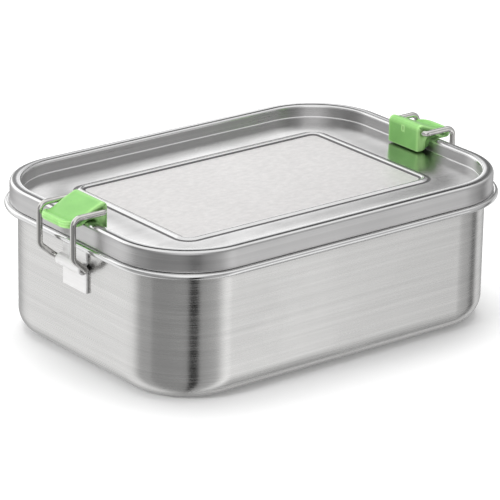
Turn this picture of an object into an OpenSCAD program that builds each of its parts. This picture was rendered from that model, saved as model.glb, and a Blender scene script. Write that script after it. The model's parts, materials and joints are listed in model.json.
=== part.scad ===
// Stainless steel lunch box: a drawn tub, a pressed lid with a seal, and two wire-bail latches.
// Origin: middle of the footprint, on the table. +X along the length, +Y along the width, +Z up.

/* [Tub] */
// Length of the tub, outside its end walls
tub_length = 188.4; // [160:0.4:230]
// Width of the tub, outside its side walls
tub_width = 131.6; // [110:0.4:170]
// Radius of the upright corners, on the outside of the wall
corner_r = 31.4; // [26:0.2:36]
// Radius where the walls turn into the floor
base_r = 10; // [7:1:13]
// Height of the middle of the rolled bead above the table
bead_height = 58; // [48:1:75]
// Thickness of the steel sheet
sheet = 0.7; // [0.5:0.1:0.9]

/* [Tub rim] */
// Thickness of the rolled bead
bead_d = 2.6; // [2.2:0.1:3]
// How far the bead stands out from the wall
bead_out = 5.8; // [5.4:0.1:6.6]
// Thickness of the folded neck that reaches up into the lid
neck_w = 2.6; // [2.4:0.1:2.7]

/* [Lid] */
// How far the lid's skirt stands out from the tub wall
skirt_out = 3.5; // [3.4:0.1:4.2]
// Height of the skirt
skirt_h = 9; // [8:0.5:12]
// Radius of the lid's outer top edge
lid_edge_r = 1.6; // [1.2:0.1:1.9]
// Width of the flat band between the outer edge and the recess
band_w = 5.4; // [5.2:0.1:6.5]
// Depth of the recess below the band
recess_d = 5.8; // [4.5:0.1:6.5]
// Radius at the top and at the foot of the recess wall
recess_r = 1.1; // [1:0.1:1.5]
// Gap between the skirt and the ledge under it
skirt_gap = 0.3; // [0.3:0.1:0.6]

/* [Ridge on the lid] */
// Length of the ridge frame, over its middle line
ridge_length = 133.4; // [110:0.2:140]
// Width of the ridge frame, over its middle line
ridge_width = 79.2; // [70:0.2:84]
// Corner radius of the ridge frame
ridge_corner_r = 5; // [4:1:10]
// Width of the ridge
ridge_w = 4.4; // [3:0.2:5]
// Height of the ridge
ridge_h = 0.9; // [0.6:0.1:1.2]

/* [Seal] */
// Thickness of the seal above the neck
seal_t = 2; // [1.7:0.1:2.6]
// Length of the lip beside the neck
seal_lip = 1.2; // [1:0.1:2.2]
// Gap between the neck and the seal
seal_gap = 0.2; // [0.1:0.1:0.4]

/* [Bracket] */
// Width of the bracket strap
bracket_w = 17; // [15:1:18]
// Thickness of the bracket strap
strap_t = 1.2; // [0.8:0.1:1.2]
// Height of the lower flange under the tunnel
flange_h = 10; // [6:0.5:12]
// Height of the upper flange above the tunnel
upper_flange_h = 8; // [3:0.5:9]
// Distance of the tunnel's middle below the middle of the bead
tunnel_drop = 10.8; // [9:0.2:14]
// Diameter of the two spot weld marks
weld_d = 2.2; // [2:0.2:3.2]

/* [Wire bail] */
// Diameter of the wire
wire_d = 2.6; // [2.2:0.1:2.8]
// Clearance round the wire in the tunnel and in the clip
wire_gap = 0.1; // [0.05:0.05:0.2]
// How far the upright legs stand out from the tub wall
leg_out = 10.5; // [10:0.5:13]
// Height that the slanted foot of the leg climbs
foot_rise = 6.8; // [5.5:0.1:8]
// Length of the wire ends inside the clip
stub_length = 3.4; // [2.6:0.1:3.6]

/* [Clip] */
// Width of the clip
clip_w = 20.6; // [20:0.2:24]
// Thickness of the hook leg
hook_t = 5.6; // [5:0.2:6]
// Gap between the hook leg and the recess wall
hook_gap = 1.2; // [0.8:0.1:1.4]
// Gap between the hook's foot and the panel
hook_lift = 0.4; // [0.3:0.1:0.8]
// Height of the pivot above the band
pivot_h = 3.5; // [3:0.1:4.5]
// Height of the clip's top edge above the pivot
clip_crest = 3.6; // [3.4:0.1:5]
// Reach of the tab, from the pivot outward
tab_reach = 19; // [17:0.5:20]
// Thickness of the tab at its tip
tab_t = 3.4; // [2.6:0.1:3.8]
// Corner radius of the tab, seen from above
tab_corner_r = 5; // [3:0.5:8]
// Depth of the pivot holes
hole_depth = 4; // [4:0.5:6]

/* [Hidden] */
$fn = 64;
tiny = 0.01;
knuckle = 0.2;
seal_side_gap = 0.1;
lip_gap = 0.2;
leg_gap = 0.6;
weld_dent = 0.3;
rim_gap = 0.5;
tip_rise = 1.5;
lip_h = 0.4;
lip_run = 1;
drop_run = 4.5;
back_turn = 22;
hollow_r = 8;
tip_flat = 0.8;
foot_r = 2.6;
foot_inner_r = 1;
crest_r = 2.5;
armpit_r = 2;
mark_size = [0.5, 0.6, 2.4];

half_l = tub_length / 2;

// heights of the rim, the ledge and the lid, each worked up from the bead
ledge_top = bead_height + bead_d / 2;
skirt_foot = ledge_top + skirt_gap;
lid_top = skirt_foot + skirt_h;
panel_top = lid_top - recess_d;
seal_foot = lid_top - sheet - seal_t;
neck_top = seal_foot - seal_gap;
neck_out = neck_w - sheet;
recess_edge = skirt_out - band_w;
seal_in = recess_edge + sheet + seal_side_gap;
seal_out = skirt_out - sheet - seal_side_gap;

// bracket and wire, as distances outward from the wall and heights
wire_r = wire_d / 2;
bore_r = wire_r + wire_gap;
barrel_r = bore_r + strap_t;
tunnel_out = barrel_r;
tunnel_z = bead_height - tunnel_drop;
pivot_out = recess_edge - hook_gap - hook_t / 2;
pivot_z = lid_top + pivot_h;
hook_foot = panel_top + hook_lift;
leg_side = clip_w / 2 + wire_r + leg_gap;
stub_end = clip_w / 2 - stub_length;

steel = [0.78, 0.78, 0.78];
wire_grey = [0.7, 0.7, 0.7];
green = [0.59, 0.84, 0.49];
seal_white = [0.92, 0.93, 0.92];

// points of an arc round a centre, from one angle to another
function arc(centre, r, from, to, steps = 8) =
    [for (i = [0:steps]) centre + r * [cos(from + (to - from) * i / steps), sin(from + (to - from) * i / steps)]];

module rounded_rectangle(l, w, r) {
    square([l, w - 2 * r], center = true);
    square([l - 2 * r, w], center = true);
    for (x = [-1, 1], y = [-1, 1])
        translate([x * (l / 2 - r), y * (w / 2 - r)]) circle(r);
}

// carries a section, drawn as distance outward and height, round a rectangle with round corners
module round_the_box(l = tub_length, w = tub_width, r = corner_r) {
    for (turn = [0:3]) {
        side = turn % 2 == 0 ? [l / 2, w / 2] : [w / 2, l / 2];
        rotate(90 * turn) {
            translate([side[0] - r, side[1] - r, 0])
                rotate_extrude(angle = 90) translate([r, 0]) children();
            translate([side[0], side[1] - r, 0])
                rotate([90, 0, 0]) linear_extrude(height = 2 * (side[1] - r)) children();
        }
    }
}

// a quarter of a sheet bend: the ring between two radii, cut to one quadrant
module sheet_bend(centre, r, quadrant) {
    translate(centre) intersection() {
        difference() {
            circle(r);
            circle(r - sheet);
        }
        rotate(90 * quadrant) square(2 * r);
    }
}

module tub_section() {
    fold_r = neck_w / 2;
    fold = [fold_r - sheet, neck_top - fold_r];
    sheet_bend([-base_r, base_r], base_r, 3);
    translate([-sheet, base_r]) square([sheet, fold[1] - base_r]);
    sheet_bend(fold, fold_r, 0);
    sheet_bend(fold, fold_r, 1);
    translate([neck_out - sheet, ledge_top - sheet]) square([sheet, fold[1] - ledge_top + sheet]);
    translate([neck_out - sheet, ledge_top - sheet]) square([bead_out - bead_d / 2 - neck_out + sheet, sheet]);
    translate([bead_out - bead_d / 2, bead_height]) circle(bead_d / 2);
}

module tub() color(steel) {
    round_the_box() tub_section();
    linear_extrude(height = sheet)
        rounded_rectangle(tub_length - 2 * base_r, tub_width - 2 * base_r, corner_r - base_r);
}

module lid_section() {
    translate([skirt_out - sheet, skirt_foot]) square([sheet, skirt_h - lid_edge_r]);
    sheet_bend([skirt_out - lid_edge_r, lid_top - lid_edge_r], lid_edge_r, 0);
    translate([recess_edge + recess_r, lid_top - sheet]) square([band_w - lid_edge_r - recess_r, sheet]);
    sheet_bend([recess_edge + recess_r, lid_top - recess_r], recess_r, 1);
    foot = [recess_edge + sheet - recess_r, panel_top - sheet + recess_r];
    translate([recess_edge, foot[1]]) square([sheet, lid_top - recess_r - foot[1]]);
    sheet_bend(foot, recess_r, 3);
}

// the ridge is pressed up from the panel, so its underside is hollow
module ridge_round(r_less) {
    r = ((ridge_w / 2) ^ 2 + ridge_h ^ 2) / (2 * ridge_h);
    round_the_box(ridge_length, ridge_width, ridge_corner_r)
        translate([0, panel_top + ridge_h - r]) circle(r - r_less);
}

module lid() color(steel) {
    inset = recess_edge + sheet - recess_r;
    round_the_box() lid_section();
    difference() {
        union() {
            translate([0, 0, panel_top - sheet]) linear_extrude(height = sheet)
                rounded_rectangle(tub_length + 2 * inset, tub_width + 2 * inset, corner_r + inset);
            intersection() {
                ridge_round(0);
                translate([0, 0, panel_top - sheet + tiny]) linear_extrude(height = ridge_h + sheet)
                    square([ridge_length + 2 * ridge_w, ridge_width + 2 * ridge_w], center = true);
            }
        }
        ridge_round(sheet);
    }
}

// the seal lies in the channel under the band; its upper corners clear the bends of the sheet
module gasket() color(seal_white) round_the_box() {
    inner_r = recess_r - sheet + seal_side_gap;
    outer_r = lid_edge_r - sheet + seal_side_gap;
    seal_top = seal_foot + seal_t;
    lip_foot = seal_foot - seal_lip;
    translate([seal_in, seal_foot]) square([seal_out - seal_in, seal_t - outer_r]);
    translate([seal_in, seal_foot]) square([2 * inner_r, seal_t - inner_r]);
    translate([seal_in + inner_r, seal_foot]) square([seal_out - seal_in - inner_r - outer_r, seal_t]);
    translate([seal_in + inner_r, seal_top - inner_r]) circle(inner_r);
    translate([seal_out - outer_r, seal_top - outer_r]) circle(outer_r);
    translate([neck_out + lip_gap, lip_foot]) square([seal_out - neck_out - lip_gap, seal_lip + tiny]);
}

// puts a latch piece, drawn outward along +X from the wall, on the right or the left end
module at_end(side) mirror([side < 0 ? 1 : 0, 0, 0]) translate([half_l, 0, 0]) children();

module across(width) rotate([90, 0, 0]) linear_extrude(height = width, center = true) children();

module bracket(side) color(steel) at_end(side) difference() {
    across(bracket_w) {
        translate([0, tunnel_z - barrel_r - flange_h + strap_t])
            square([strap_t, 2 * barrel_r + flange_h + upper_flange_h - 2 * strap_t]);
        intersection() {
            translate([tunnel_out, tunnel_z]) circle(barrel_r);
            translate([tiny, 0]) square([3 * barrel_r, lid_top]);
        }
    }
    translate([tunnel_out, 0, tunnel_z]) rotate([90, 0, 0]) cylinder(r = bore_r, h = 2 * bracket_w, center = true);
    for (y = [-1, 1])
        translate([strap_t + weld_d / 2 - weld_dent, y * bracket_w / 3, tunnel_z - barrel_r - flange_h / 2])
            sphere(d = weld_d);
}

module left_bracket() bracket(-1);
module right_bracket() bracket(1);

// a round wire along a point list, with a small knuckle at each corner
module wire(points) {
    last = len(points) - 1;
    for (i = [0:last - 1]) {
        run = points[i + 1] - points[i];
        translate(points[i]) rotate([0, acos(run[2] / norm(run)), atan2(run[1], run[0])])
            cylinder(r = wire_r, h = norm(run));
    }
    for (i = [1:last - 1]) translate(points[i]) sphere(r = wire_r + knuckle);
}

module bail(side) color(wire_grey) at_end(side) {
    half = [
        [tunnel_out, leg_side, tunnel_z],
        [leg_out, leg_side, tunnel_z + foot_rise],
        [leg_out, leg_side, pivot_z],
        [pivot_out, leg_side, pivot_z],
        [pivot_out, stub_end, pivot_z]
    ];
    other = [for (p = half) [p[0], -p[1], p[2]]];
    wire(concat([for (i = [4:-1:0]) half[i]], other));
}

module left_bail() bail(-1);
module right_bail() bail(1);

// side view of the clip, round the pivot at (0, 0): a hook leg, a back that slopes down, a tab with a lip
module clip_side() {
    half_t = hook_t / 2;
    foot = hook_foot - pivot_z;
    under = rim_gap - pivot_h;
    rim_end = skirt_out - pivot_out - lid_edge_r + tiny;
    tip_top = under + tip_rise;
    tip_foot = tip_top - tab_t;
    tip_r = (tab_t - tip_flat) / 2;
    valley = tip_top - lip_h;
    crest = [crest_r - half_t, clip_crest - crest_r];
    back = crest + crest_r * [sin(back_turn), cos(back_turn)];
    slope_fall = back[1] - valley - hollow_r * (1 - cos(back_turn));
    valley_x = back[0] + slope_fall / tan(back_turn) + hollow_r * sin(back_turn);
    polygon(concat(
        arc([foot_inner_r - half_t, foot + foot_inner_r], foot_inner_r, 180, 270, 4),
        arc([half_t - foot_r, foot + foot_r], foot_r, 270, 360),
        arc([half_t + armpit_r, under - armpit_r], armpit_r, 180, 90),
        [[rim_end, under], [rim_end + drop_run, tip_foot]],
        arc([tab_reach - tip_r, tip_foot + tip_r], tip_r, 270, 360, 6),
        arc([tab_reach - tip_r, tip_top - tip_r], tip_r, 0, 90, 6),
        [[tab_reach - tip_r - lip_run, tip_top]],
        arc([valley_x, valley + hollow_r], hollow_r, 270, 270 - back_turn, 6),
        arc(crest, crest_r, 90 - back_turn, 180)
    ));
}

module clip(side) color(green) at_end(side) translate([pivot_out, 0, pivot_z]) difference() {
    intersection() {
        across(clip_w) clip_side();
        translate([0, 0, -lid_top]) linear_extrude(height = 2 * lid_top) union() {
            translate([-hook_t, -clip_w / 2]) square([hook_t + tab_reach - tab_corner_r, clip_w]);
            translate([0, -clip_w / 2 + tab_corner_r]) square([tab_reach, clip_w - 2 * tab_corner_r]);
            for (y = [-1, 1])
                translate([tab_reach - tab_corner_r, y * (clip_w / 2 - tab_corner_r)]) circle(tab_corner_r);
        }
    }
    for (y = [-1, 1])
        translate([0, y * clip_w / 2, 0]) rotate([90, 0, 0])
            cylinder(r = bore_r, h = 2 * hole_depth, center = true);
    translate([-hook_t / 2, 0, 0]) cube(mark_size, center = true);
}

module left_clip() clip(-1);
module right_clip() clip(1);

tub();
left_bracket();
right_bracket();
lid();
gasket();
left_bail();
right_bail();
left_clip();
right_clip();
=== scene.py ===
import json
import math
import bmesh
import bpy
import numpy as np
from mathutils import Matrix, Vector


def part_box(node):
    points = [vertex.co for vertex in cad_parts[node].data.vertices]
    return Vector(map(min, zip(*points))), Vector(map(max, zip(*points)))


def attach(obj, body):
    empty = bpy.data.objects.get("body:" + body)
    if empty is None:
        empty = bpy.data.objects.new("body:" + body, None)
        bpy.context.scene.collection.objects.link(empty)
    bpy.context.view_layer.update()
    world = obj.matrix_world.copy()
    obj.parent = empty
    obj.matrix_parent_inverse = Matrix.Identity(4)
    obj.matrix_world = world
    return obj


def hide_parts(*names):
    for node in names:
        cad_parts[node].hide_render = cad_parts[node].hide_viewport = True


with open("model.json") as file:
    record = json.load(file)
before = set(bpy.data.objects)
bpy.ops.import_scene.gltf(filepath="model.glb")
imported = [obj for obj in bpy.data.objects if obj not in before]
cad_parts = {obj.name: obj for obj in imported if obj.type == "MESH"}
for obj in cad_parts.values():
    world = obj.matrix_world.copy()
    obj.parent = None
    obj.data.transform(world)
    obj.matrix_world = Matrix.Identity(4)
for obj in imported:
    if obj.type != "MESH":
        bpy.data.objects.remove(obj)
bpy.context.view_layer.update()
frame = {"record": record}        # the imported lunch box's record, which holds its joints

mm = 0.001


def boxOf(node):
    return [np.array(corner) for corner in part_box(node)]


def jointSpot(name):
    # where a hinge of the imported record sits
    return next(j["pos_m"] for j in frame["record"]["behaviour"]["joints"] if j["name"] == name)


# sections: points of (outward, height), each run with the finish it carries

def straight(p, q, finish, support=0.12 * mm):
    # a line from p to q with a support point just inside each end, which keeps the flats flat
    p, q = np.array(p, float), np.array(q, float)
    length = np.linalg.norm(q - p)
    near = min(support / length, 0.3)
    steps = np.array([0, near, 1 - near, 1])[:, None]
    return p + (q - p) * steps, finish


def bend(centre, radius, start, stop, finish, steps=10):
    # an arc: centre + radius * (cos a, sin a), a from start to stop in degrees
    angle = np.radians(np.linspace(start, stop, steps + 1))
    return np.array(centre) + radius * np.column_stack([np.cos(angle), np.sin(angle)]), finish


def trace(*runs):
    # joins the runs end to end, leaving out doubled points; a row's finish is that of the run it starts
    points = np.concatenate([run[0] for run in runs])
    finish = np.concatenate([np.full(len(run[0]), run[1]) for run in runs])
    keep = np.append(np.linalg.norm(np.diff(points, axis=0), axis=1) > 1e-7, True)
    return points[keep], finish[keep]


# grids and meshes

def quadGrid(rows, columns):
    # corner numbers of the quads between neighbouring rows of a grid whose columns run round
    r, c = np.meshgrid(np.arange(rows - 1), np.arange(columns), indexing="ij")
    here, beside = r * columns + c, r * columns + (c + 1) % columns
    return np.stack([here, beside, beside + columns, here + columns], -1).reshape(-1, 4)


def makePiece(name, points, faces, finishes, faceFinish=None, flip=False):
    faces = [list(f)[::-1] if flip else list(f) for f in faces]
    mesh = bpy.data.meshes.new(name)
    mesh.from_pydata(np.asarray(points).tolist(), [], faces)
    for finish in finishes:
        mesh.materials.append(finish)
    if faceFinish is not None:
        mesh.polygons.foreach_set("material_index", np.asarray(faceFinish, np.int32))
    mesh.polygons.foreach_set("use_smooth", np.ones(len(faces), bool))
    mesh.update()
    piece = bpy.data.objects.new(name, mesh)
    bpy.context.collection.objects.link(piece)
    return piece


def ringRows(halfX, halfY, radius, cornerSteps=30, sideSteps=8, support=0.006):
    # rounded rectangles, one per row: corner centre + radius * (cos a, sin a), sides between the corners
    halfX, halfY, radius = (np.asarray(v, float)[:, None] for v in (halfX, halfY, radius))
    blocks = []
    turn = np.linspace(0, math.pi / 2, cornerSteps + 1)
    signs = [(1, 1), (-1, 1), (-1, -1), (1, -1)]
    for k, (sx, sy) in enumerate(signs):
        angle = turn + k * math.pi / 2
        x = sx * (halfX - radius) + radius * np.cos(angle)
        y = sy * (halfY - radius) + radius * np.sin(angle)
        nx, ny = signs[(k + 1) % 4]
        endAngle = (k + 1) * math.pi / 2
        toX = nx * (halfX - radius) + radius * math.cos(endAngle)
        toY = ny * (halfY - radius) + radius * math.sin(endAngle)
        t = np.concatenate([[support], np.linspace(0, 1, sideSteps + 1)[1:-1], [1 - support]])
        sideX = x[:, -1:] + (toX - x[:, -1:]) * t
        sideY = y[:, -1:] + (toY - y[:, -1:]) * t
        blocks += [np.stack([x, y], -1), np.stack([sideX, sideY], -1)]
    return np.concatenate(blocks, 1)


def shellOfRings(name, rows, height, finish, finishes, capEnds=True):
    # the surface (ring(row, column), height(row)); each end is closed by a fan to its middle
    count, columns = rows.shape[:2]
    z = np.broadcast_to(np.asarray(height)[:, None, None], (count, columns, 1))
    points = np.concatenate([rows, z], -1).reshape(-1, 3)
    faces = quadGrid(count, columns)
    faceFinish = np.repeat(finish[:-1], columns)
    if not capEnds:
        return makePiece(name, points, faces, finishes, faceFinish)
    first, last = len(points), len(points) + 1
    points = np.concatenate([points, [[0, 0, height[0]], [0, 0, height[-1]]]])
    c = np.arange(columns)
    bottom = np.column_stack([(c + 1) % columns, c, np.full(columns, first)])
    start = (count - 1) * columns
    top = np.column_stack([start + c, start + (c + 1) % columns, np.full(columns, last)])
    faces = faces.tolist() + bottom.tolist() + top.tolist()
    faceFinish = np.concatenate([faceFinish, np.full(columns, finish[0]), np.full(columns, finish[-1])])
    return makePiece(name, points, faces, finishes, faceFinish)


# finishes

def nodeOf(tree, kind, x, y, **values):
    node = tree.nodes.new(kind)
    node.location = (x, y)
    for key, value in values.items():
        setattr(node, key, value)
    return node


def newFinish(name):
    material = bpy.data.materials.new(name)
    material.use_nodes = True
    return material, material.node_tree, material.node_tree.nodes["Principled BSDF"]


def noiseOn(tree, coords, scale, detail, x, y, size=1.0, roughness=0.5):
    # noise over object coordinates, stretched by scale (cycles per metre on each axis)
    mapping = nodeOf(tree, "ShaderNodeMapping", x, y)
    mapping.inputs["Scale"].default_value = scale
    noise = nodeOf(tree, "ShaderNodeTexNoise", x + 180, y)
    noise.inputs["Scale"].default_value = size
    noise.inputs["Detail"].default_value = detail
    noise.inputs["Roughness"].default_value = roughness
    tree.links.new(coords, mapping.inputs["Vector"])
    tree.links.new(mapping.outputs["Vector"], noise.inputs["Vector"])
    return noise.outputs["Fac"]


def spread(tree, value, low, high, x, y, fromLow=0.3, fromHigh=0.7):
    node = nodeOf(tree, "ShaderNodeMapRange", x, y)
    node.inputs["From Min"].default_value = fromLow
    node.inputs["From Max"].default_value = fromHigh
    node.inputs["To Min"].default_value = low
    node.inputs["To Max"].default_value = high
    tree.links.new(value, node.inputs["Value"])
    return node.outputs["Result"]


def added(tree, a, b, x, y, operation="ADD"):
    node = nodeOf(tree, "ShaderNodeMath", x, y, operation=operation)
    tree.links.new(a, node.inputs[0])
    tree.links.new(b, node.inputs[1])
    return node.outputs[0]


def acrossGrain(tree, x, y):
    # the way square to a grain that runs level round the walls: normal x (normal x up)
    normal = nodeOf(tree, "ShaderNodeNewGeometry", x, y).outputs["Normal"]
    first = nodeOf(tree, "ShaderNodeVectorMath", x + 180, y, operation="CROSS_PRODUCT")
    tree.links.new(normal, first.inputs[0])
    first.inputs[1].default_value = (0, 0, 1)
    second = nodeOf(tree, "ShaderNodeVectorMath", x + 360, y, operation="CROSS_PRODUCT")
    tree.links.new(normal, second.inputs[0])
    tree.links.new(first.outputs[0], second.inputs[1])
    return second.outputs[0]


def steelFinish(name, grain, tone=(0.74, 0.735, 0.725), roughness=0.3, lines=0.06, depth=0.02, smudge=0.05,
                stretch=0.0, metal=1.0):
    # brushed steel: fine grain lines (grain: cycles per metre on each axis) over soft handling marks
    material, tree, shader = newFinish(name)
    coords = nodeOf(tree, "ShaderNodeTexCoord", -1300, 0).outputs["Object"]
    fine = noiseOn(tree, coords, grain, 3, -1100, 200, roughness=0.65)
    wide = noiseOn(tree, coords, tuple(g * 0.22 for g in grain), 2, -1100, -50)
    marks = noiseOn(tree, coords, (26, 26, 26), 4, -1100, -300, roughness=0.6)
    both = added(tree, fine, wide, -700, 100, "MULTIPLY")
    shadeRamp = nodeOf(tree, "ShaderNodeValToRGB", -480, 260)
    dark = tuple(t * 0.86 for t in tone)
    shadeRamp.color_ramp.elements[0].position = 0.12
    shadeRamp.color_ramp.elements[0].color = (*dark, 1)
    shadeRamp.color_ramp.elements[1].position = 0.42
    shadeRamp.color_ramp.elements[1].color = (*tone, 1)
    tree.links.new(both, shadeRamp.inputs["Fac"])
    tree.links.new(shadeRamp.outputs["Color"], shader.inputs["Base Color"])
    lineRough = spread(tree, fine, roughness - lines, roughness + lines, -480, -20)
    markRough = spread(tree, marks, -smudge, smudge, -480, -280)
    tree.links.new(added(tree, lineRough, markRough, -240, -120), shader.inputs["Roughness"])
    bump = nodeOf(tree, "ShaderNodeBump", -240, -340)
    bump.inputs["Strength"].default_value = 0.35
    bump.inputs["Distance"].default_value = depth * mm
    tree.links.new(both, bump.inputs["Height"])
    tree.links.new(bump.outputs["Normal"], shader.inputs["Normal"])
    shader.inputs["Metallic"].default_value = metal
    if stretch:
        shader.inputs["Anisotropic"].default_value = stretch
        tree.links.new(acrossGrain(tree, -900, -560), shader.inputs["Tangent"])
    return material


def clipFinish(name, dark, tone, light):
    # moulded polypropylene: soft sheen, a fine spark-eroded skin, cloudy flow marks, and a painted
    # highlight: paler colour on the convex edges
    material, tree, shader = newFinish(name)
    coords = nodeOf(tree, "ShaderNodeTexCoord", -1300, 0).outputs["Object"]
    clouds = noiseOn(tree, coords, (90, 90, 90), 3, -1100, 200)
    skin = noiseOn(tree, coords, (5200, 5200, 5200), 2, -1100, -100)
    scuffs = noiseOn(tree, coords, (400, 700, 400), 4, -1100, -350, roughness=0.7)
    ramp = nodeOf(tree, "ShaderNodeValToRGB", -700, 240)
    ramp.color_ramp.elements[0].position = 0.3
    ramp.color_ramp.elements[0].color = (*dark, 1)
    ramp.color_ramp.elements[1].position = 0.7
    ramp.color_ramp.elements[1].color = (*tone, 1)
    tree.links.new(clouds, ramp.inputs["Fac"])
    # painted highlight: convex edges (by pointiness) blend toward the light colour
    edge = nodeOf(tree, "ShaderNodeNewGeometry", -900, 480).outputs["Pointiness"]
    edgeHighlight = spread(tree, edge, 0.0, 0.8, -700, 480, 0.5, 0.53)
    mix = nodeOf(tree, "ShaderNodeMix", -420, 300, data_type="RGBA")
    mix.inputs["B"].default_value = (*light, 1)
    tree.links.new(edgeHighlight, mix.inputs["Factor"])
    tree.links.new(ramp.outputs["Color"], mix.inputs["A"])
    tree.links.new(mix.outputs["Result"], shader.inputs["Base Color"])
    tree.links.new(spread(tree, scuffs, 0.27, 0.33, -420, -200), shader.inputs["Roughness"])
    bump = nodeOf(tree, "ShaderNodeBump", -240, -400)
    bump.inputs["Strength"].default_value = 0.25
    bump.inputs["Distance"].default_value = 0.02 * mm
    tree.links.new(skin, bump.inputs["Height"])
    tree.links.new(bump.outputs["Normal"], shader.inputs["Normal"])
    shader.inputs["Subsurface Weight"].default_value = 0.12
    shader.inputs["Subsurface Radius"].default_value = (0.6, 1.0, 0.4)
    shader.inputs["Subsurface Scale"].default_value = 1.5 * mm
    shader.inputs["IOR"].default_value = 1.49
    return material


def sealFinish(name, tone):
    # silicone: matt, milky, with a faint dusty mottling
    material, tree, shader = newFinish(name)
    coords = nodeOf(tree, "ShaderNodeTexCoord", -1100, 0).outputs["Object"]
    mottle = noiseOn(tree, coords, (300, 300, 300), 4, -900, 100)
    ramp = nodeOf(tree, "ShaderNodeValToRGB", -480, 200)
    ramp.color_ramp.elements[0].color = (*(t * 0.86 for t in tone), 1)
    ramp.color_ramp.elements[1].color = (*tone, 1)
    tree.links.new(mottle, ramp.inputs["Fac"])
    tree.links.new(ramp.outputs["Color"], shader.inputs["Base Color"])
    tree.links.new(spread(tree, mottle, 0.5, 0.68, -480, -100), shader.inputs["Roughness"])
    shader.inputs["Subsurface Weight"].default_value = 0.25
    shader.inputs["Subsurface Scale"].default_value = 1.2 * mm
    return material


wallSteel = steelFinish("wallSteel", (22, 22, 2600), (0.78, 0.775, 0.765), roughness=0.25,
                        stretch=0.88, depth=0.01)
panelSteel = steelFinish("panelSteel", (1500, 2200, 1500), (0.95, 0.932, 0.925), roughness=0.42,
                         depth=0.02, metal=0.78)
bandSteel = steelFinish("bandSteel", (90, 90, 90), (0.58, 0.58, 0.585), roughness=0.17,
                        lines=0.02, depth=0.003, smudge=0.02)
zoneSteel = steelFinish("zoneSteel", (300, 900, 300), (0.72, 0.715, 0.715), roughness=0.2,
                        lines=0.03, depth=0.003, smudge=0.03)
skirtSteel = steelFinish("skirtSteel", (20, 20, 2200), (0.66, 0.655, 0.655), roughness=0.34,
                         depth=0.006, stretch=0.5)
brightSteel = steelFinish("brightSteel", (60, 60, 500), (0.88, 0.88, 0.88), roughness=0.16,
                          lines=0.03, depth=0.003, smudge=0.02)
strapSteel = steelFinish("strapSteel", (900, 26, 1800), (0.93, 0.925, 0.92), roughness=0.45,
                         depth=0.01, metal=0.55)
wireSteel = steelFinish("wireSteel", (500, 500, 120), (0.8, 0.79, 0.77), roughness=0.1,
                        lines=0.03, depth=0.003, smudge=0.03)
# painted shadow: near-black steel for the lines along the ridge's feet
foldSteel = steelFinish("foldSteel", (60, 60, 500), (0.09, 0.087, 0.09), roughness=0.3,
                        lines=0.03, depth=0.003, metal=0.15)
insideSteel = steelFinish("insideSteel", (30, 30, 1400), (0.72, 0.72, 0.72), roughness=0.3, depth=0.01)
# the last colour is the painted highlight on the clip's convex edges
greenPlastic = clipFinish("greenPlastic", (0.17, 0.41, 0.105), (0.22, 0.5, 0.14), (0.45, 0.78, 0.3))
siliconeSeal = sealFinish("siliconeSeal", (0.83, 0.84, 0.82))
print("finishes made")


# the tub

tub = dict(
    sheet=0.7 * mm,
    beadOut=5.8 * mm,          # bead's furthest point, out from the wall
    beadRadius=1.3 * mm,
    grooveDrop=0.08 * mm,      # ledge below the bead's crown
    neckWidth=2.6 * mm,
    cornerRadius=31.4 * mm,
    baseRadius=10 * mm,
    rootRadius=0.5 * mm,
    lidGap=0.3 * mm,           # from the bead's crown up to the lid's skirt
    floorReach=6 * mm,         # the floor's flat strip inside its bend
)
tubHigh = boxOf("tub")[1]
halfLength = tubHigh[0] - tub["beadOut"]
halfWidth = tubHigh[1] - tub["beadOut"]
lidLow, lidHigh = boxOf("lid")
gasketLow, gasketHigh = boxOf("gasket")


def ringsRound(outward):
    # the tub's outline moved outward by each value
    outward = np.asarray(outward)
    return ringRows(halfLength + outward, halfWidth + outward, tub["cornerRadius"] + outward)


def makeTub():
    t, base, bead, flat = tub["sheet"], tub["baseRadius"], tub["beadRadius"], tub["floorReach"]
    fold = tub["neckWidth"] / 2
    foldAt = (fold - t, tubHigh[2] - fold)
    neckOut = tub["neckWidth"] - t
    beadAt = (tub["beadOut"] - bead, lidLow[2] - tub["lidGap"] - bead)
    ledge = beadAt[1] + bead - tub["grooveDrop"]
    under = ledge - t
    root = tub["rootRadius"]
    startAngle = 180 - math.degrees(math.asin((under - beadAt[1]) / bead))
    stopAngle = 540 - math.degrees(math.asin((ledge - beadAt[1]) / bead))
    startOut = beadAt[0] + bead * math.cos(math.radians(startAngle))
    stopOut = beadAt[0] + bead * math.cos(math.radians(stopAngle))
    wall, inside, bright = 0, 1, 2
    section, finish = trace(
        straight((-base - flat, 0), (-base, 0), wall),
        bend((-base, base), base, -90, 0, wall, 16),
        straight((0, base), (0, foldAt[1]), wall),
        bend(foldAt, fold - t, 180, 0, inside, 8),
        straight((neckOut - t, foldAt[1]), (neckOut - t, under + root), inside),
        bend((neckOut - t + root, under + root), root, 180, 270, inside, 5),
        straight((neckOut - t + root, under), (startOut, under), bright),
        bend(beadAt, bead, startAngle, stopAngle, bright, 34),
        straight((stopOut, ledge), (neckOut + root, ledge), inside),
        bend((neckOut + root, ledge + root), root, 270, 180, bright, 5),
        straight((neckOut, ledge + root), (neckOut, foldAt[1]), bright),
        bend(foldAt, fold, 0, 180, bright, 12),
        straight((-t, foldAt[1]), (-t, base), inside),
        bend((-base, base), base - t, 0, -90, inside, 14),
        straight((-base, t), (-base - flat, t), inside),
    )
    finishes = [wallSteel, insideSteel, brightSteel]
    return shellOfRings("tubShell", ringsRound(section[:, 0]), section[:, 1], finish, finishes)


tubShell = makeTub()
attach(tubShell, "box")
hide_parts("tub")
print("tub made")


# the lid

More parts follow.
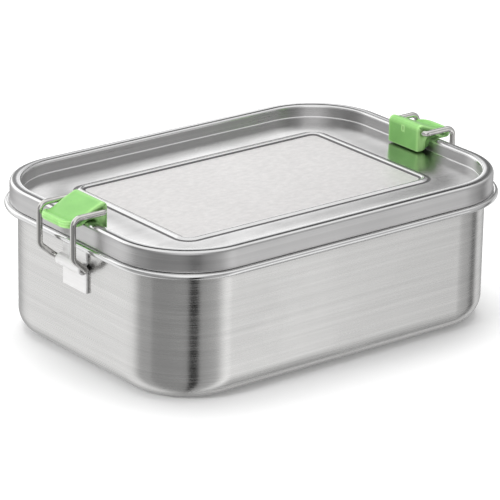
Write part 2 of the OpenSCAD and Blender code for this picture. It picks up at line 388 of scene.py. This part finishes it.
lid = dict(
    sheet=0.7 * mm,
    edgeRadius=1.6 * mm,
    bandWidth=5.4 * mm,
    bandFall=0.12 * mm,        # the band's rounded back falls this much to each edge
    recessDepth=5.8 * mm,
    recessRadius=1.1 * mm,
    ridgeLength=133.4 * mm,
    ridgeWidth=79.2 * mm,
    ridgeCorner=5 * mm,
    ridgeAcross=4.4 * mm,
    ridgeHeight=0.9 * mm,
    crown=0.25 * mm,
    sag=0.22 * mm,             # the panel's outer zone dips between the recess foot and the ridge
    hemRound=0.3 * mm,
    hemDrop=0.27 * mm,         # the skirt's rounded foot reaches this far below the plain node's
    footFlat=0.5 * mm,         # flat strip inside the recess's foot
    ridgeMargin=0.15 * mm,     # flat strip at each foot of the ridge
    lineStart=0.965,           # the painted shadow line outside the ridge starts at this share of the outer zone
)


def makeLid():
    t, edge, turn = lid["sheet"], lid["edgeRadius"], lid["recessRadius"]
    skirtOut = lidHigh[0] - halfLength
    top, foot = lidHigh[2], lidLow[2] - lid["hemDrop"]
    recess = skirtOut - lid["bandWidth"]
    panel = top - lid["recessDepth"]
    inner = top - lid["bandFall"]
    footAt = (recess + t - turn, panel - t + turn)
    lip, flatEnd = lid["hemRound"], footAt[0] - lid["footFlat"]
    # fold here is the finish of the painted shadow lines at the ridge's feet
    skirt, band, flat, bright, hidden, middleField, fold = range(7)
    # the band's back: fall * (1 - s^2) above its edges, s from -1 to 1 across it
    across = np.linspace(-1, 1, 9)
    middle, reach = (skirtOut - edge + recess + turn) / 2, (skirtOut - edge - recess - turn) / 2
    crowned = np.column_stack([middle - reach * across, inner + lid["bandFall"] * (1 - across ** 2)])
    # underside, from the panel outward and down to the skirt's foot, then up and over the top
    below, belowFinish = trace(
        straight((flatEnd, panel - t), (footAt[0], panel - t), hidden),
        bend(footAt, turn, 270, 360, hidden, 8),
        straight((recess + t, footAt[1]), (recess + t, inner - turn), hidden),
        bend((recess + turn, inner - turn), turn - t, 180, 90, hidden, 6),
        straight((recess + turn, inner - t), (skirtOut - edge, top - t), hidden),
        bend((skirtOut - edge, top - edge), edge - t, 90, 0, hidden, 6),
        straight((skirtOut - t, top - edge), (skirtOut - t, foot + lip), hidden),
        bend((skirtOut - t + lip, foot + lip), lip, 180, 270, bright, 5),
        bend((skirtOut - lip, foot + lip), lip, 270, 360, bright, 5),
        straight((skirtOut, foot + lip), (skirtOut, inner - edge), skirt),
        bend((skirtOut - edge, inner - edge), edge, 0, 40, skirt, 6),
        bend((skirtOut - edge, inner - edge), edge, 40, 90, bright, 8),
        (crowned, band),
        bend((recess + turn, inner - turn), turn, 90, 180, bright, 10),
        straight((recess, inner - turn), (recess, footAt[1]), skirt),
        bend(footAt, turn - t, 360, 270, bright, 8),
        straight((footAt[0], panel), (flatEnd, panel), flat),
    )
    # the ridge: height * (1 + cos(2 pi x / across)) / 2, x across it from outside to inside
    across = np.linspace(0.5, -0.5, 25) * lid["ridgeAcross"]
    rise = lid["ridgeHeight"] * (1 + np.cos(2 * math.pi * across / lid["ridgeAcross"])) / 2
    margin = lid["ridgeMargin"]
    ridgeOut = np.concatenate([[across[0] + margin], across, [across[-1] - margin]])
    ridgeUp = np.concatenate([[0], rise, [0]])
    halfRidge = lid["ridgeLength"] / 2 + ridgeOut, lid["ridgeWidth"] / 2 + ridgeOut
    ridgeRings = ringRows(*halfRidge, lid["ridgeCorner"] + ridgeOut)
    edgeRings = ringsRound(below[:, 0])
    # the outer zone blends foot outline to ridge outline and dips by sag * sin(pi t)^2
    inward = np.append(np.linspace(0, 1, 12)[1:-1], lid["lineStart"])
    zone = edgeRings[-1] + (ridgeRings[0] - edgeRings[-1]) * inward[:, None, None]
    dip = -lid["sag"] * np.sin(math.pi * inward) ** 2
    # the middle rises to a faint crown: crown * (1 - share^2)
    share = np.array([0.96, 0.85, 0.7, 0.5, 0.3, 0.12])
    centre = ridgeRings[-1] * share[:, None, None]
    swell = lid["crown"] * (1 - share ** 2)
    rows = np.concatenate([centre[::-1], ridgeRings[::-1], zone[::-1], edgeRings, zone, ridgeRings, centre])
    # painted shadow: a near-black line along each foot of the ridge, where the ridge's own shade falls
    zoneFinish = np.append(np.full(len(zone) - 1, flat), fold)
    ridgeFinish = np.full(len(ridgeOut), bright)
    ridgeFinish[:4] = ridgeFinish[-8:-2] = fold
    ridgeFinish[-2:] = middleField
    middleFinish = np.full(len(share), middleField)
    beneath = np.concatenate([swell[::-1], ridgeUp[::-1], dip[::-1]]) + panel - t
    height = np.concatenate([beneath, below[:, 1], panel + dip, panel + ridgeUp, panel + swell])
    underFinish = np.full(len(beneath), hidden)
    finish = np.concatenate([underFinish, belowFinish, zoneFinish, ridgeFinish, middleFinish])
    finishes = [skirtSteel, bandSteel, zoneSteel, brightSteel, insideSteel, panelSteel, foldSteel]
    return shellOfRings("lidShell", rows, height, finish, finishes)


lidShell = makeLid()
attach(lidShell, "cover")
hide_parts("lid")
print("lid made")


# the seal

seal = dict(
    lipGap=0.22 * mm, round=0.25 * mm, lip=1.2 * mm,
    wallGap=0.15 * mm, inset=0.03 * mm,          # clear of the recess wall, and inside the plain node
    outerRound=1.1 * mm, innerRound=0.6 * mm,
)


def makeSeal():
    # a flat ring with a lip down beside the neck, its section closed on itself
    skirtOut = lidHigh[0] - halfLength
    left = skirtOut - lid["bandWidth"] + lid["sheet"] + seal["wallGap"]
    right = gasketHigh[0] - halfLength - seal["inset"]
    outer, inner = seal["outerRound"], seal["innerRound"]
    top, body = gasketHigh[2] - lid["bandFall"] - seal["inset"], gasketLow[2] + seal["lip"]
    low = gasketLow[2]
    lipLeft = tub["neckWidth"] - tub["sheet"] + seal["lipGap"]
    r, tip = seal["round"], (right - lipLeft) / 2
    section, finish = trace(
        bend((left + r, body + r), r, 180, 270, 0, 4),
        straight((left + r, body), (lipLeft, body), 0),
        straight((lipLeft, body), (lipLeft, low + r / 2), 0),
        bend((lipLeft + tip, low + tip), tip, 180, 360, 0, 8),
        straight((right, low + tip), (right, top - outer), 0),
        bend((right - outer, top - outer), outer, 0, 90, 0, 8),
        straight((right - outer, top), (left + inner, top), 0),
        bend((left + inner, top - inner), inner, 90, 180, 0, 6),
        straight((left, top - inner), (left, body + r), 0),
    )
    rings = ringsRound(section[:, 0])
    return shellOfRings("sealRing", rings, section[:, 1], finish, [siliconeSeal], capEnds=False)


sealRing = makeSeal()
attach(sealRing, "cover")
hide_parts("gasket")
print("seal made")


# brackets

bracket = dict(
    width=17 * mm, sheet=1.2 * mm, bore=1.4 * mm, blend=1.2 * mm,
    weldRadius=1.15 * mm, weldDepth=0.28 * mm, weldUp=5 * mm,
    wallGap=0.02 * mm,         # between the strap's back and the tub's wall
    mouth=0.6 * mm,            # where the bore runs out into the flat back
    blendRise=0.55,            # share of the blend's radius between bulge and flange
)


def outwardPlace(points, side):
    # turns (out from the wall, along Y, height) into places at the left (-1) or right (+1) end
    points = np.array(points, float)
    points[..., 0] = side * (halfLength + points[..., 0])
    return points


def makeBracket(side, name, node):
    # a strap: its side view, front and back, carried across the width, with the welds pressed in
    low, high = boxOf(node)
    t, bore, soft, gap = bracket["sheet"], bracket["bore"], bracket["blend"], bracket["wallGap"]
    outer = bore + t
    axisOut, axisUp = outer, jointSpot("left_bail_swing")[2]
    blendAt = outer + soft * bracket["blendRise"]
    boreEnd = bore + bracket["mouth"]
    front, _ = trace(
        straight((t, low[2]), (t, axisUp - blendAt), 0),
        bend((t + soft, axisUp - blendAt), soft, 180, 118, 0, 6),
        bend((axisOut, axisUp), outer, -112, 112, 0, 26),
        bend((t + soft, axisUp + blendAt), soft, 242, 180, 0, 6),
        straight((t, axisUp + blendAt), (t, high[2]), 0),
    )
    back, _ = trace(
        straight((gap, high[2]), (gap, axisUp + boreEnd), 0),
        bend((axisOut, axisUp), bore, 150, -150, 0, 26),
        straight((gap, axisUp - boreEnd), (gap, low[2]), 0),
    )
    steps = np.linspace(-1, 1, 61)
    y = steps * bracket["width"] / 2
    loop = np.concatenate([front, back])
    grid = np.zeros((len(y), len(loop), 3))
    grid[..., 0], grid[..., 1], grid[..., 2] = loop[:, 0], y[:, None], loop[:, 1]
    # each weld is pressed in by depth * exp(-(d / r)^4)
    isFront = np.arange(len(loop)) < len(front)
    weldUp = low[2] + bracket["weldUp"]
    for weldY in (-bracket["width"] / 3, bracket["width"] / 3):
        away = (grid[..., 1] - weldY) ** 2 + (grid[..., 2] - weldUp) ** 2
        grid[..., 0] -= isFront * bracket["weldDepth"] * np.exp(-(away / bracket["weldRadius"] ** 2) ** 2)
    points = outwardPlace(grid.reshape(-1, 3), side)
    faces = quadGrid(len(y), len(loop)).tolist()
    last = (len(y) - 1) * len(loop)
    faces += [list(range(len(loop)))[::-1], [last + k for k in range(len(loop))]]
    return makePiece(name, points, faces, [strapSteel], flip=side < 0)


def densify(points, step):
    # extra points so that no gap along a line is longer than step
    gaps = np.linalg.norm(np.diff(points, axis=0), axis=1)
    along = np.concatenate([[0], np.cumsum(gaps)])
    extra = np.unique(np.concatenate([along, np.arange(0, along[-1], step)]))
    return np.column_stack([np.interp(extra, along, points[:, k]) for k in range(points.shape[1])])


# wire bails

bail = dict(
    radius=1.3 * mm, bendRadius=3.6 * mm, stubBend=1.5 * mm, stub=3.2 * mm, footRise=6.8 * mm,
    knuckle=0.2 * mm,          # the plain node's corners stand this much proud of its wire
    ring=20, step=2.5 * mm,
    capLength=0.45, capTip=0.04,      # the rounded ends, as shares of the wire's radius
)


def bentPath(corners, radii, steps=12):
    # straight lengths with each corner rounded: centre + r * (way in * sin a - inward * cos a)
    path = [corners[0]]
    for before, at, after, radius in zip(corners, corners[1:], corners[2:], radii):
        wayIn = (at - before) / np.linalg.norm(at - before)
        wayOut = (after - at) / np.linalg.norm(after - at)
        turn = math.acos(np.clip(wayIn @ wayOut, -1, 1))
        inward = wayOut - (wayOut @ wayIn) * wayIn
        inward /= np.linalg.norm(inward)
        centre = at - wayIn * radius * math.tan(turn / 2) + inward * radius
        angle = np.linspace(0, turn, steps + 1)[:, None]
        path += list(centre + radius * (wayIn * np.sin(angle) - inward * np.cos(angle)))
    return np.array(path + [corners[-1]])


def makeTube(name, path, radius, finish, around):
    # circles of the wire's radius square to the path, with rounded ends
    way = np.gradient(path, axis=0)
    way /= np.linalg.norm(way, axis=1)[:, None]
    lean = np.array([0.36, 0.48, 0.8])
    side = np.cross(way, lean)
    side /= np.linalg.norm(side, axis=1)[:, None]
    up = np.cross(way, side)
    size = np.full(len(path), radius)
    cap = np.linspace(0, math.pi / 2, 6)[:-1]
    capLength = radius * bail["capLength"]
    startPath = path[0] - way[0] * capLength * np.cos(cap)[:, None]
    endPath = path[-1] + way[-1] * capLength * np.cos(cap[::-1])[:, None]
    path = np.concatenate([startPath, path, endPath])
    size = np.concatenate([radius * np.sin(cap), size, radius * np.sin(cap[::-1])])
    size[[0, -1]] = radius * bail["capTip"]
    pad = [(len(cap), len(cap)), (0, 0)]
    side, up = np.pad(side, pad, mode="edge"), np.pad(up, pad, mode="edge")
    angle = np.linspace(0, 2 * math.pi, around, endpoint=False)
    circle = np.cos(angle)[None, :, None] * side[:, None] + np.sin(angle)[None, :, None] * up[:, None]
    points = (path[:, None] + size[:, None, None] * circle).reshape(-1, 3)
    faces = quadGrid(len(path), around)[:, ::-1].tolist()
    last = (len(path) - 1) * around
    faces += [list(range(around)), [last + k for k in range(around)][::-1]]
    return makePiece(name, points, faces, [finish])


def makeBail(side, name, node):
    low, high = boxOf(node)
    swing = jointSpot("left_bail_swing")
    turn = jointSpot("left_clip_turn")
    tunnelOut, pivotOut = abs(swing[0]) - halfLength, abs(turn[0]) - halfLength
    legOut = max(abs(low[0]), abs(high[0])) - halfLength - bail["radius"] - bail["knuckle"]
    legSide = high[1] - bail["radius"] - bail["knuckle"]
    clipSide = boxOf("left_clip")[1][1]
    half = np.array([
        (pivotOut, clipSide - bail["stub"], turn[2]),
        (pivotOut, legSide, turn[2]),
        (legOut, legSide, turn[2]),
        (legOut, legSide, swing[2] + bail["footRise"]),
        (tunnelOut, legSide, swing[2]),
    ])
    corners = outwardPlace(np.concatenate([half, half[::-1] * (1, -1, 1)]), side)
    wide, tight = bail["bendRadius"], bail["stubBend"]
    path = bentPath(corners, [tight, wide, wide, wide, wide, wide, wide, tight])
    path = densify(path, bail["step"])
    return makeTube(name, path, bail["radius"], wireSteel, bail["ring"])


# clips

clip = dict(
    width=20.6 * mm, hookThick=5.6 * mm, crest=3.58 * mm, reach=19 * mm, tabThick=3.4 * mm,
    tabCorner=5 * mm, footRound=2.6 * mm, footInner=1 * mm, crestRound=2.5 * mm, armpit=2 * mm,
    under=-3 * mm, tipRise=1.5 * mm, valley=0.6 * mm, backTurn=22, hollow=8 * mm, rimEnd=7.8 * mm,
    dropRun=4.5 * mm, edgeRound=1 * mm, crown=0.3 * mm, bore=1.4 * mm, boreDepth=4 * mm,
    tipRound=1.35 * mm, tipFlat=0.5 * mm, tabStart=5 * mm,
    step=0.6 * mm, closest=0.04 * mm,            # spacing of the profile's points
    markHalf=0.3 * mm, markHalfUp=1.2 * mm, markDepth=0.25 * mm, cutOver=1 * mm,
)


def clipProfile():
    # side view round the pivot, clockwise: crest, hollow back, raised lip, tip, underside, hook leg
    half, under = clip["hookThick"] / 2, clip["under"]
    footUp = boxOf("left_clip")[0][2] - jointSpot("left_clip_turn")[2]
    crest, foot, inner, pit = clip["crestRound"], clip["footRound"], clip["footInner"], clip["armpit"]
    tipTop = under + clip["tipRise"]
    tipFoot = tipTop - clip["tabThick"]
    valley = tipTop - clip["valley"]
    crestAt = np.array([crest - half, clip["crest"] - crest])
    turn = math.radians(clip["backTurn"])
    back = crestAt + crest * np.array([math.sin(turn), math.cos(turn)])
    slope = back[1] - valley - clip["hollow"] * (1 - math.cos(turn))
    hollow = (back[0] + slope / math.tan(turn) + clip["hollow"] * math.sin(turn), valley + clip["hollow"])
    tip = clip["tipRound"]
    # the lip rises smoothly: valley + rise * (1 - cos(pi t)) / 2
    t = np.linspace(0, 1, 9)[1:]
    lipEnd = clip["reach"] - tip - clip["tipFlat"]
    lipUp = valley + clip["valley"] * (1 - np.cos(math.pi * t)) / 2
    lip = np.column_stack([hollow[0] + (lipEnd - hollow[0]) * t, lipUp])
    points, _ = trace(
        bend(crestAt, crest, 180, 90 - clip["backTurn"], 0, 14),
        bend(hollow, clip["hollow"], 270 - clip["backTurn"], 270, 0, 10),
        (lip, 0),
        bend((clip["reach"] - tip, tipTop - tip), tip, 90, 0, 0, 8),
        bend((clip["reach"] - tip, tipFoot + tip), tip, 0, -90, 0, 8),
        straight((clip["rimEnd"] + clip["dropRun"], tipFoot), (clip["rimEnd"], under), 0),
        straight((clip["rimEnd"], under), (half + pit, under), 0),
        bend((half + pit, under - pit), pit, 90, 180, 0, 8),
        straight((half, under - pit), (half, footUp + foot), 0),
        bend((half - foot, footUp + foot), foot, 0, -90, 0, 10),
        bend((-half + inner, footUp + inner), inner, -90, -180, 0, 8),
        straight((-half, footUp + inner), (-half, crestAt[1]), 0),
    )
    closed = np.concatenate([points, points[:1]])
    dense = densify(closed, clip["step"])[:-1]
    gap = np.linalg.norm(dense - np.roll(dense, 1, 0), axis=1)
    return dense[gap > clip["closest"]]


def makeClip(side, name):
    # the profile drawn in by edge * (1 - sqrt(1 - d^2)) near each side, its tab shortened at the corners
    profile = clipProfile()
    ahead, behind = np.roll(profile, -1, 0), np.roll(profile, 1, 0)
    way = (ahead - behind) / np.linalg.norm(ahead - behind, axis=1)[:, None]
    outward = np.column_stack([-way[:, 1], way[:, 0]])
    edge, half = clip["edgeRound"], clip["width"] / 2
    lean = np.linspace(0, math.pi / 2, 7)
    rim = half - edge + edge * np.sin(lean)
    y = np.concatenate([-rim[::-1], np.linspace(-half + edge, half - edge, 29)[1:-1], rim])
    depth = np.clip((np.abs(y) - (half - edge)) / edge, 0, 1)
    inset = edge * (1 - np.sqrt(np.clip(1 - depth ** 2, 0, 1)))
    grid = profile[None] - outward[None] * inset[:, None, None]
    x, z = grid[..., 0].copy(), grid[..., 1].copy()
    corner = clip["tabCorner"]
    over = np.clip(np.abs(y) - (half - corner), 0, corner * 0.985)
    lost = corner - np.sqrt(corner ** 2 - over ** 2)
    share = np.clip((x - clip["tabStart"]) / (clip["reach"] - clip["tabStart"]), 0, 1)
    x -= share * lost[:, None]
    isTop = np.clip(outward[None, :, 1] * 2, 0, 1)
    z -= isTop * share * clip["crown"] * (y[:, None] / half) ** 2
    points = np.stack([x, np.broadcast_to(y[:, None], x.shape), z], -1).reshape(-1, 3)
    pivot = jointSpot("left_clip_turn")
    points += (abs(pivot[0]) - halfLength, 0, pivot[2])
    count = len(profile)
    faces = quadGrid(len(y), count).tolist()
    last = (len(y) - 1) * count
    faces += [list(range(count))[::-1], [last + k for k in range(count)]]
    piece = makePiece(name, outwardPlace(points, side), faces, [greenPlastic], flip=side < 0)
    drill(piece, side, pivot)
    return piece


def drill(piece, side, pivot):
    # the pivot holes and the small gate mark on the inner face, cut out with round cutters
    half, inner, over, count = clip["width"] / 2, -clip["hookThick"] / 2, clip["cutOver"], 40
    bore, deep = clip["bore"], clip["boreDepth"]
    turn = np.linspace(0, 2 * math.pi, count, endpoint=False)
    rings, faces = [], []
    for start, stop, wide, tall, isHole in (
        (half - deep, half + over, bore, bore, True),
        (-half - over, -half + deep, bore, bore, True),
        (inner - over, inner + clip["markDepth"], clip["markHalf"], clip["markHalfUp"], False),
    ):
        base = len(rings) * count
        for level in (start, stop):
            a, b = wide * np.cos(turn), tall * np.sin(turn)
            flat = np.full(count, level)
            rings.append(np.column_stack([a, flat, b] if isHole else [flat, a, b]))
        faces += (quadGrid(2, count) + base).tolist()
        faces += [list(range(base, base + count))[::-1], list(range(base + count, base + 2 * count))]
    points = np.concatenate(rings) + (abs(pivot[0]) - halfLength, 0, pivot[2])
    cutter = makePiece("cutter", outwardPlace(points, side), faces, [greenPlastic])
    faceOutward(cutter)
    faceOutward(piece)
    cut = piece.modifiers.new("holes", "BOOLEAN")
    cut.object, cut.operation, cut.solver = cutter, "DIFFERENCE", "MANIFOLD"
    bpy.context.view_layer.update()
    baked = bpy.data.meshes.new_from_object(piece.evaluated_get(bpy.context.evaluated_depsgraph_get()))
    piece.modifiers.clear()
    piece.data = baked
    bpy.data.objects.remove(cutter)
    work = bmesh.new()        # the faces round the holes are split, so that no turn can fill a hole
    work.from_mesh(baked)
    bmesh.ops.triangulate(work, faces=[face for face in work.faces if len(face.verts) > 4])
    work.to_mesh(baked)
    work.free()
    print(piece.name, len(baked.vertices), "points")


def faceOutward(piece):
    work = bmesh.new()
    work.from_mesh(piece.data)
    bmesh.ops.recalc_face_normals(work, faces=work.faces)
    work.to_mesh(piece.data)
    work.free()


for side, word in ((-1, "left"), (1, "right")):
    strap = makeBracket(side, word + "Strap", word + "_bracket")
    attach(strap, "box")
    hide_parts(word + "_bracket")
    wire = makeBail(side, word + "Wire", word + "_bail")
    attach(wire, word + "_wire")
    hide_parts(word + "_bail")
    catch = makeClip(side, word + "Catch")
    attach(catch, word + "_catch")
    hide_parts(word + "_clip")
    print(word + " latch made")


# floor, light and camera

studio = dict(
    floorSize=12.0, floorTone=0.96,
    peak=2.4, zenith=0.95, ambient=0.8,          # the room's brightest light, its ceiling, its soft fill
    overhead=dict(place=(0.2, 0.4, 1.7), size=1.6, power=20),
    leftKey=dict(place=(-1.4, -0.1, 0.9), size=0.5, power=9),
    lampAim=(0, 0, 0.05),
    cameraPlace=(-0.835, -1.051, 0.536), cameraAim=(-0.0204, -0.0242, 0.0440),
    cameraRoll=1.03, focal=234.8,
)


def makeFloor():
    material, _, shader = newFinish("paleFloor")
    shader.inputs["Base Color"].default_value = (studio["floorTone"],) * 3 + (1,)
    shader.inputs["Roughness"].default_value = 0.9
    size = studio["floorSize"] / 2
    points = [(-size, -size, 0), (size, -size, 0), (size, size, 0), (-size, size, 0)]
    floor = makePiece("studioFloor", points, [[0, 1, 2, 3]], [material])
    floor.visible_glossy = False


def rampOn(tree, value, stops, x, y):
    # a grey ramp through (position, brightness) stops
    ramp = nodeOf(tree, "ShaderNodeValToRGB", x, y)
    elements = ramp.color_ramp.elements
    for k, (place, level) in enumerate(stops):
        point = elements[k] if k < 2 else elements.new(place)
        point.position, point.color = place, (level, level, level, 1)
    tree.links.new(value, ramp.inputs["Fac"])
    return ramp.outputs["Color"]


def ringOf(levels, peak):
    # (azimuth in degrees, brightness) pairs as ramp stops; azimuth runs from -180 to 180 over the ramp
    return sorted((((a + 180) % 360) / 360, level / peak) for a, level in levels)


def makeRoom():
    # a studio round the object, seen only in reflections: (azimuth in degrees, brightness) of the boards
    # and gaps near the floor, of the softboxes above them, and of what stands higher still
    peak = studio["peak"]
    low = [(30, 0.42), (52, 0.45), (85, 0.5), (105, 0.85), (122, 0.97), (144, 0.9), (160, 0.42), (180, 0.3),
           (236, 0.29), (242, 0.0), (252, 0.0), (257, 0.34), (284, 0.5), (298, 1.05), (306, 1.2),
           (308.2, 1.1), (310, 0.9), (312, 0.7), (316, 0.56), (338, 0.46), (345, 0.12), (352, 0.12),
           (1, 0.8), (14, 0.75)]
    middle = [(20, 0.5), (38, 0.22), (47, 0.25), (50.5, 1.5), (54.5, 1.5), (57, 0.4), (62, 0.4), (68, 1.3),
              (112, 1.3), (128, 0.8), (138, 0.5), (160, 0.3), (200, 0.4), (225, 0.9), (250, 0.9), (262, 0.4),
              (285, 0.3), (300, 0.5), (335, 0.55), (345, 0.4), (5, 0.5)]
    high = [(24, 0.5), (36, 0.06), (60, 0.06), (68, 1.3), (128, 1.3), (138, 0.5), (160, 0.3), (200, 0.4),
            (225, 1.2), (250, 1.2), (262, 0.4), (285, 0.3), (305, 0.45), (335, 0.6), (345, 0.5), (5, 0.7)]
    world = bpy.data.worlds.new("studio")
    bpy.context.scene.world = world
    world.use_nodes = True
    tree = world.node_tree
    background = tree.nodes["Background"]
    way = nodeOf(tree, "ShaderNodeTexCoord", -1500, 0).outputs["Generated"]
    parts = nodeOf(tree, "ShaderNodeSeparateXYZ", -1300, 0)
    tree.links.new(way, parts.inputs[0])
    azimuth = added(tree, parts.outputs["Y"], parts.outputs["X"], -1100, 150, "ARCTAN2")
    turn = spread(tree, azimuth, 0, 1, -900, 150, -math.pi, math.pi)
    layers = rampOn(tree, turn, ringOf(low, peak), -600, 200)
    for colour, start, stop, x in (
        (rampOn(tree, turn, ringOf(middle, peak), -600, -50), 0.02, 0.12, -300),
        (rampOn(tree, turn, ringOf(high, peak), -600, -300), 0.4, 0.5, -200),
        ((studio["zenith"] / peak,) * 3 + (1,), 0.62, 0.76, -100),
    ):
        share = spread(tree, parts.outputs["Z"], 0, 1, x - 300, -350, start, stop)
        blend = nodeOf(tree, "ShaderNodeMix", x, 0, data_type="RGBA")
        tree.links.new(share, blend.inputs["Factor"])
        tree.links.new(layers, blend.inputs["A"])
        if isinstance(colour, tuple):
            blend.inputs["B"].default_value = colour
        else:
            tree.links.new(colour, blend.inputs["B"])
        layers = blend.outputs["Result"]
    ray = nodeOf(tree, "ShaderNodeLightPath", -100, 300)
    soft = nodeOf(tree, "ShaderNodeMix", 120, 0, data_type="RGBA")
    tree.links.new(ray.outputs["Is Glossy Ray"], soft.inputs["Factor"])
    soft.inputs["A"].default_value = (studio["ambient"] / peak,) * 3 + (1,)
    tree.links.new(layers, soft.inputs["B"])
    tree.links.new(soft.outputs["Result"], background.inputs["Color"])
    background.inputs["Strength"].default_value = peak


def makeLamp(name):
    look = studio[name]
    lamp = bpy.data.lights.new(name, "AREA")
    lamp.shape, lamp.size, lamp.energy = "DISK", look["size"], look["power"]
    rig = bpy.data.objects.new(name, lamp)
    rig.location = look["place"]
    toward = Vector(studio["lampAim"]) - Vector(look["place"])
    rig.rotation_euler = toward.to_track_quat("-Z", "Y").to_euler()
    rig.visible_glossy = False        # the steel sees only the boards of the studio
    bpy.context.collection.objects.link(rig)


def makeCamera():
    eye = bpy.data.cameras.new("camera")
    eye.lens, eye.sensor_width = studio["focal"], 36
    eye.clip_start, eye.clip_end = 0.05, 50
    rig = bpy.data.objects.new("camera", eye)
    place, aim = Vector(studio["cameraPlace"]), Vector(studio["cameraAim"])
    look = (aim - place).to_track_quat("-Z", "Y").to_matrix().to_4x4()
    roll = Matrix.Rotation(math.radians(studio["cameraRoll"]), 4, "Z")
    rig.matrix_world = Matrix.Translation(place) @ look @ roll
    bpy.context.collection.objects.link(rig)
    bpy.context.scene.camera = rig


makeFloor()
makeRoom()
makeLamp("overhead")
makeLamp("leftKey")
makeCamera()
bpy.context.scene.view_settings.view_transform = "Standard"
print("studio made")
